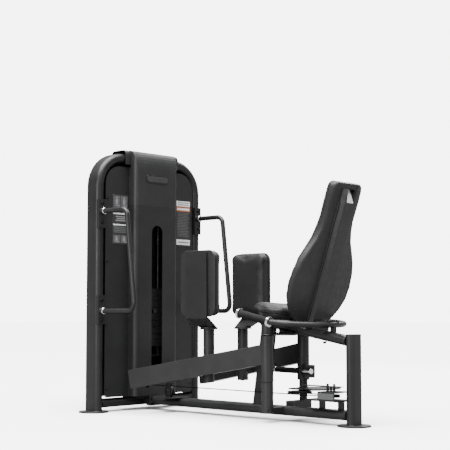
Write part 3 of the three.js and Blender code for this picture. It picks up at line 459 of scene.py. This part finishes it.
def tube_loop(name, points, radius, material, body, sides=8):
    """A round cord along a closed line."""
    count = len(points)
    middle = points.mean(0)
    verts = []
    for i in range(count):
        along = points[(i + 1) % count] - points[i - 1]
        along /= np.linalg.norm(along)
        away = points[i] - middle
        away -= along * (away @ along)
        away /= np.linalg.norm(away)
        up = np.cross(along, away)
        for k in range(sides):
            angle = 2 * math.pi * k / sides
            verts.append(points[i] + radius * (math.cos(angle) * away + math.sin(angle) * up))
    faces = []
    for i in range(count):
        for k in range(sides):
            a, b = i * sides + k, i * sides + (k + 1) % sides
            c, d = (i + 1) % count * sides + (k + 1) % sides, (i + 1) % count * sides + k
            faces.append((a, d, c, b))
    mesh = bpy.data.meshes.new(name)
    mesh.from_pydata([tuple(v) for v in verts], [], faces)
    mesh.polygons.foreach_set("use_smooth", [True] * len(mesh.polygons))
    mesh.update()
    return new_piece(name, mesh, material, body)


def local_plane(matrix, point, direction):
    at = matrix @ Vector(point)
    return tuple(at), tuple((matrix.to_3x3() @ Vector(direction)).normalized())


def finish_cushion(cushion, node, body, material):
    obj = cushion.obj
    obj.data.polygons.foreach_set("use_smooth", [True] * len(obj.data.polygons))
    obj.data.materials.clear()
    obj.data.materials.append(material)
    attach(obj, body)
    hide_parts(node)


def make_cushions():
    seat_base = local_plane(SEAT_FRAME, (0, 0, 0), (0, 0, 1))
    back_base = local_plane(BACK_FRAME, (0, -0.001, 0), (0, 1, 0))
    pad_base = ((PAD_BACK_X, 0, 0), (-1.0, 0, 0))
    seat = Cushion("seat_upholstery", "seat_cushion", seat_base, 0.005, 0.003, 0.005)
    back = Cushion("back_upholstery", "back_cushion", back_base, 0.006, 0.0015, 0.011)
    pad = Cushion("pad_upholstery_right", "pad_foam_right", pad_base, 0.005, 0.001, 0.0075)
    for cushion in (seat, back, pad):
        cushion.start()
    for number in range(1, PRESSED_FRAMES + 1):
        scene.frame_set(number)
    for cushion in (seat, back, pad):
        cushion.settle()
    scene.frame_set(1)
    for cushion in (seat, back, pad):
        cushion.refine()
    seat.groove(SEAT_SEAMS, 0.0022, 0.0035)
    back.groove(BACK_SEAMS, 0.0022, 0.0035)
    pad.groove(PAD_SEAMS, 0.0020, 0.0032)
    mirror = Cushion.__new__(Cushion)
    mesh = pad.obj.data.copy()
    mesh.transform(Matrix.Scale(-1, 4, (1, 0, 0)))
    mesh.flip_normals()
    mirror.obj = bpy.data.objects.new("pad_upholstery_left", mesh)
    scene.collection.objects.link(mirror.obj)
    sewn = ((seat, "seat", SEAT_SEAMS), (back, "back", BACK_SEAMS), (pad, "pad", PAD_SEAMS))
    for cushion, label, levels in sewn:
        for i, level in enumerate(levels):
            line = even_out(cushion.loop(level), PIPING_POINTS)
            if label == "pad":
                for side, flip in SIDES:
                    points = line * np.array([flip, 1, 1])
                    if flip < 0:
                        points = points[::-1]
                    name = "pad_piping_%s_%d" % (side, i)
                    tube_loop(name, points, PIPING_RADIUS, PIPING, side + "_pad")
            else:
                tube_loop("%s_piping_%d" % (label, i), line, PIPING_RADIUS, PIPING, "frame")
    finish_cushion(seat, "seat_cushion", "frame", HIDE)
    finish_cushion(back, "back_cushion", "frame", HIDE)
    finish_cushion(pad, "pad_foam_right", "right_pad", HIDE)
    finish_cushion(mirror, "pad_foam_left", "left_pad", HIDE)


make_cushions()


# ------------------------------------------------------------------ trim
def turned(name, profile, place, axis, material, body="frame", sides=28):
    """A turned piece: (radius, height) points revolved round an axis from place."""
    verts, faces = [], []
    turn = Vector((0, 0, 1)).rotation_difference(Vector(axis)).to_matrix()
    closed = profile[0][0] > 0 and profile[-1][0] > 0
    for radius, height in profile:
        for k in range(sides):
            angle = 2 * math.pi * k / sides
            local = Vector((radius * math.cos(angle), radius * math.sin(angle), height))
            verts.append(Vector(place) + turn @ local)
    rows = len(profile)
    for r in range(rows if closed else rows - 1):
        for k in range(sides):
            a, b = r * sides + k, r * sides + (k + 1) % sides
            low = (r + 1) % rows * sides
            faces.append((a, b, low + (k + 1) % sides, low + k))
    mesh = bpy.data.meshes.new(name)
    mesh.from_pydata(verts, [], faces)
    work = bmesh.new()
    work.from_mesh(mesh)
    bmesh.ops.remove_doubles(work, verts=work.verts, dist=1e-6)
    bmesh.ops.recalc_face_normals(work, faces=work.faces)
    work.to_mesh(mesh)
    work.free()
    mesh.polygons.foreach_set("use_smooth", [True] * len(mesh.polygons))
    mesh.set_sharp_from_angle(angle=math.radians(35))
    return new_piece(name, mesh, material, body)


def bolt(name, place, axis, radius=0.007, height=0.005, material=None, body="frame"):
    """A domed socket-head bolt with its washer."""
    r, h = radius, height
    washer = 0.0012
    profile = [
        (0, 0.0002),
        (r * 1.45, 0.0002),
        (r * 1.5, 0.0006),
        (r * 1.45, washer),
        (r, washer),
        (r, washer + h * 0.55),
        (r * 0.86, washer + h * 0.9),
        (r * 0.6, washer + h),
        (r * 0.46, washer + h),
        (r * 0.42, washer + h * 0.45),
        (0, washer + h * 0.45),
    ]
    return turned(name, profile, place, axis, material or BOLT, body, 20)


def ring(name, inner, outer, thick, place, axis, material):
    e = min(0.0015, thick / 4)
    profile = [(inner, 0), (outer - e, 0), (outer, e), (outer, thick - e), (outer - e, thick), (inner, thick)]
    return turned(name, profile, place, axis, material)


def slab_on(name, centre, size, thick, corner, axes, material, body="frame", edge=0.0006):
    """A thin plate with round corners and an eased edge.

    axes are its width, height and outward directions.
    """
    across, up, out = (Vector(a) for a in axes)
    half_w, half_h = size[0] / 2, size[1] / 2
    def outline(inset):
        r = max(corner - inset, 0.0002)
        points = []
        for sx, sy, first in ((1, 1, 0), (-1, 1, 90), (-1, -1, 180), (1, -1, 270)):
            for k in range(7):
                angle = math.radians(first + 15 * k)
                x = sx * (half_w - inset - r) + r * math.cos(angle)
                y = sy * (half_h - inset - r) + r * math.sin(angle)
                points.append((x, y))
        return points
    verts = []
    layers = ((0, 0), (0, thick - edge), (edge, thick))
    for inset, height in layers:
        verts += [Vector(centre) + across * x + up * y + out * height for x, y in outline(inset)]
    count = len(verts) // len(layers)
    faces = [tuple(range(count))[::-1], tuple(range(2 * count, 3 * count))]
    for r in range(2):
        for k in range(count):
            a, b = r * count + k, r * count + (k + 1) % count
            faces.append((a, b, b + count, a + count))
    mesh = bpy.data.meshes.new(name)
    mesh.from_pydata(verts, [], faces)
    work = bmesh.new()
    work.from_mesh(mesh)
    bmesh.ops.recalc_face_normals(work, faces=work.faces)
    work.to_mesh(mesh)
    work.free()
    mesh.polygons.foreach_set("use_smooth", [True] * len(mesh.polygons))
    mesh.set_sharp_from_angle(angle=math.radians(35))
    return new_piece(name, mesh, material, body)


def make_rings():
    front, rear = Vector((0.235, -0.206, 0.558)), Vector((0.235, -0.427, 0.512))
    along = (rear - front).normalized()
    for side, flip in SIDES:
        mirror = Vector((flip, 1, 1))
        ends = (("front", front + along * 0.0158, -along), ("rear", rear - along * 0.0158, along))
        for end, start, way in ends:
            name = "grip_ring_%s_%s" % (end, side)
            ring(name, 0.0151, 0.0262, 0.013, start * mirror, way * mirror, CHROME)
        for end, z in (("low", 0.568), ("high", 1.132)):
            ring("handle_ring_%s_%s" % (end, side), 0.0143, 0.0185, 0.006,
                 (flip * 0.3805, 0.6888, z), (0, -1, 0), CHROME)


def make_bolts():
    for side, flip in SIDES:
        for i, z in enumerate((1.178, 1.070, 0.630, 0.517)):
            bolt("handle_bolt_%s_%d" % (side, i), (flip * 0.3805, 0.7048, z), (0, -1, 0), 0.0075, 0.006)
        for i, (x, z) in enumerate(((0.043, 0.040), (0.043, 0.066))):
            bolt("rail_bolt_%s_%d" % (side, i), (flip * x, 0.6505, z), (0, -1, 0), 0.0065, 0.006)
        for i in range(4):
            rear = (flip * 0.325, 0.8162, 0.16 + i * 0.34)
            bolt("rear_cover_bolt_%s_%d" % (side, i), rear, (0, 1, 0), 0.0055, 0.003)
            front = (flip * 0.332, 0.7198, 0.13 + i * 0.36)
            bolt("front_cover_bolt_%s_%d" % (side, i), front, (0, -1, 0), 0.0045, 0.0025)
        bolt("hand_bar_bolt_" + side, (flip * 0.036, -0.6402, 0.5135), (0, 0, 1), 0.007, 0.008)
        bolt("pivot_cap_" + side, (flip * 0.144, -0.325, 0.5062), (0, 0, 1), 0.013, 0.006, BOLT)
        cap = [(0, 0), (0.010, 0), (0.011, 0.001), (0.009, 0.003), (0, 0.0038)]
        place = (flip * 0.135, 0.103, 0.186)
        turned("arm_end_cap_" + side, cap, place, (0, 0, -1), MOULDED, side + "_arm")
    bolt("seat_tube_nut", (0, -0.585, 0.4145), (0, -0.171, -0.985), 0.009, 0.009)


FRONT = ((1, 0, 0), (0, 0, 1), (0, -1, 0))
COVER_Y = 0.7198             # front face of the cover's two wings
PRINT_Y = 0.7184             # front face of a placard
OVERPRINT = 0.0004           # how far a block printed on another one stands out
LEFT_X = -0.236              # middle of each placard
RIGHT_X = 0.2685


def make_badge():
    slab_on("hood_badge", (0, 0.6598, 1.338), (0.18, 0.048), 0.0022, 0.0235, FRONT, BADGE)
    face = (0, 0.6576, 1.338)
    size = (0.166, 0.034)
    slab_on("hood_badge_face", face, size, 0.0005, 0.0165, FRONT, BADGE_FACE, edge=0.0002)


def placard(name, x, z, width, height):
    place = (x, COVER_Y, z)
    slab_on(name, place, (width, height), 0.0014, 0.006, FRONT, PAPER_DARK)


def print_block(name, x, z, width, height, material, lift=0.0):
    """One printed block on a placard, with no lettering."""
    place = (x, PRINT_Y - lift, z)
    slab_on(name, place, (width, height), 0.0003, 0.0012, FRONT, material, edge=0.0001)


def print_picture(tag, x, z, height):
    """A small picture: a pale figure on a grey field."""
    print_block("placard_left_picture_" + tag, x, z, 0.050, height, PAPER_MID)
    head = z + height * 0.30
    print_block("placard_left_head_" + tag, x, head, 0.010, height * 0.16, PAPER_GREY, OVERPRINT)
    body = z - height * 0.04
    print_block("placard_left_body_" + tag, x, body, 0.018, height * 0.42, PAPER_GREY, OVERPRINT)
    foot = z - height * 0.36
    print_block("placard_left_foot_" + tag, x + 0.006, foot, 0.026, height * 0.10, PAPER_GREY, OVERPRINT)


def make_left_placard():
    placard("placard_left", LEFT_X, 1.0925, 0.118, 0.287)
    for row, (z, height) in enumerate(((1.196, 0.066), (0.980, 0.044))):
        for column in (0, 1):
            print_picture("%d_%d" % (row, column), LEFT_X + (column - 0.5) * 0.056, z, height)
    for row, z in enumerate((1.126, 1.062)):
        print_block("placard_left_title_%d" % row, -0.240, z, 0.100, 0.007, PAPER_LIGHT)
    for row, (z, width) in enumerate(((1.109, 0.078), (1.098, 0.064), (1.087, 0.082))):
        print_block("placard_left_line_%d" % row, -0.232, z, width, 0.006, PAPER_GREY)
    for row in range(4):
        z = 1.048 - 0.0095 * row
        width = 0.102 - 0.009 * (row % 2)
        print_block("placard_left_note_%d" % row, -0.238, z, width, 0.0055, PAPER_MID)


def make_right_placard():
    placard("placard_right", RIGHT_X, 1.097, 0.119, 0.280)
    print_block("placard_right_head", RIGHT_X, 1.217, 0.112, 0.032, PAPER_LIGHT)
    for row in range(2):
        z = 1.223 - 0.012 * row
        print_block("placard_right_head_line_%d" % row, RIGHT_X, z, 0.092, 0.004, PAPER_MID, OVERPRINT)
    print_block("placard_right_band", RIGHT_X, 1.184, 0.114, 0.027, BAND)
    print_block("placard_right_title", RIGHT_X, 1.184, 0.104, 0.012, PAPER_LIGHT, OVERPRINT)
    for row in range(16):
        x = RIGHT_X - 0.003 * (row % 3)
        width = 0.100 - 0.006 * (row % 3)
        print_block("placard_right_line_%d" % row, x, 1.162 - row * 0.0094, width, 0.0042, PAPER_MID)
    print_block("placard_right_foot", RIGHT_X, 0.983, 0.112, 0.032, PAPER_LIGHT)
    print_block("placard_right_foot_line", RIGHT_X, 0.983, 0.090, 0.008, PAPER_GREY, OVERPRINT)


def make_panels():
    """A pale plate in the recess in the back, a painted highlight for its lit floor; dark cords beside its
    spine, painted shade for the groove; and the pulley's guard.
    """
    turn = BACK_FRAME.to_3x3()
    floor = BACK_FRAME @ Vector((0, -0.0390, 0.6705))
    way = (turn @ Vector((0, 0.051, 0.066))).normalized()
    out = (turn @ Vector((0, -0.066, 0.051))).normalized()
    axes = ((1, 0, 0), way, out)
    # A pale plate on the recess floor. This is a painted highlight for the floor lit from above.
    slab_on("recess_painted_highlight", floor + out * 0.0004, (0.054, 0.078), 0.0012, 0.004, axes, RECESS_PAINTED_HIGHLIGHT)
    # Dark cords along both feet of the spine. These are painted shade that stands in for the shaded groove
    # beside it.
    for side, flip in SIDES:
        low = BACK_FRAME @ Vector((flip * 0.0570, -0.0398, 0.012))
        high = BACK_FRAME @ Vector((flip * 0.0570, -0.0398, 0.640))
        length = (high - low).length
        radius = 0.0048
        cord = [(0, 0), (radius, 0.004), (radius, length - 0.004), (0, length)]
        turned("spine_shade_cord_" + side, cord, low, high - low, NYLON, sides=10)
    place = (-0.0854, -0.657, 0.146)
    axes = ((0, -1, 0), (0, 0, 1), (-1, 0, 0))
    slab_on("pulley_guard", place, (0.100, 0.030), 0.0016, 0.003, axes, GUARD)


make_rings()
make_bolts()
make_badge()
make_left_placard()
make_right_placard()
make_panels()


# ------------------------------------------------------------------ floor and light
ROOM = 0.62      # light that the white room throws on the object
PAPER = 6.5      # how bright its far wall looks


def make_stage():
    mesh = bpy.data.meshes.new("floor")
    mesh.from_pydata([(-40, -40, 0), (40, -40, 0), (40, 40, 0), (-40, 40, 0)], [], [(0, 1, 2, 3)])
    floor = bpy.data.objects.new("floor", mesh)
    scene.collection.objects.link(floor)
    s = Shader("floor", 0.9)
    pale = s.colour(s.noise(2), (0.88, 0.88, 0.88), (0.92, 0.92, 0.92))
    bounce = s.nodes.new("ShaderNodeMix")      # the floor throws little light back up at the object
    bounce.data_type = "RGBA"
    bounce.inputs[6].default_value = (0.16, 0.16, 0.16, 1)
    s.links.new(s.nodes.new("ShaderNodeLightPath").outputs["Is Camera Ray"], bounce.inputs[0])
    s.links.new(pale, bounce.inputs[7])
    s.links.new(bounce.outputs[2], s.skin.inputs["Base Color"])
    mesh.materials.append(s.material)
    world = bpy.data.worlds.new("world")
    world.use_nodes = True
    tree = world.node_tree
    room = tree.nodes["Background"]
    room.inputs["Color"].default_value = (1, 1, 1, 1)
    room.inputs["Strength"].default_value = ROOM
    paper = tree.nodes.new("ShaderNodeBackground")
    paper.inputs["Color"].default_value = (1, 1, 1, 1)
    paper.inputs["Strength"].default_value = PAPER
    seen = tree.nodes.new("ShaderNodeLightPath")
    mix = tree.nodes.new("ShaderNodeMixShader")
    tree.links.new(seen.outputs["Is Camera Ray"], mix.inputs[0])
    tree.links.new(room.outputs[0], mix.inputs[1])
    tree.links.new(paper.outputs[0], mix.inputs[2])
    tree.links.new(mix.outputs[0], tree.nodes["World Output"].inputs["Surface"])
    scene.world = world


def make_sun(strength, tilt, turn):
    data = bpy.data.lights.new("overhead", "SUN")
    data.energy = strength
    data.angle = math.radians(70)
    lamp = bpy.data.objects.new("overhead", data)
    lamp.rotation_euler = (math.radians(tilt), 0, math.radians(turn))
    scene.collection.objects.link(lamp)


def make_light(name, place, aim, size, power):
    data = bpy.data.lights.new(name, "AREA")
    data.shape = "RECTANGLE"
    data.size, data.size_y = size
    data.energy = power
    lamp = bpy.data.objects.new(name, data)
    lamp.location = place
    lamp.rotation_euler = (Vector(aim) - Vector(place)).to_track_quat("-Z", "Y").to_euler()
    scene.collection.objects.link(lamp)


make_stage()
make_sun(20, 12, -70)
make_light("left_box", (-5.0, -0.7, 1.7), (0, 0, 0.7), (3.0, 2.4), 190)
make_light("rear_box", (-1.2, -5.4, 1.5), (0, 0.2, 0.8), (3.0, 2.0), 40)
make_light("right_box", (4.2, 1.4, 4.0), (0, 0.2, 0.9), (3.0, 3.0), 200)
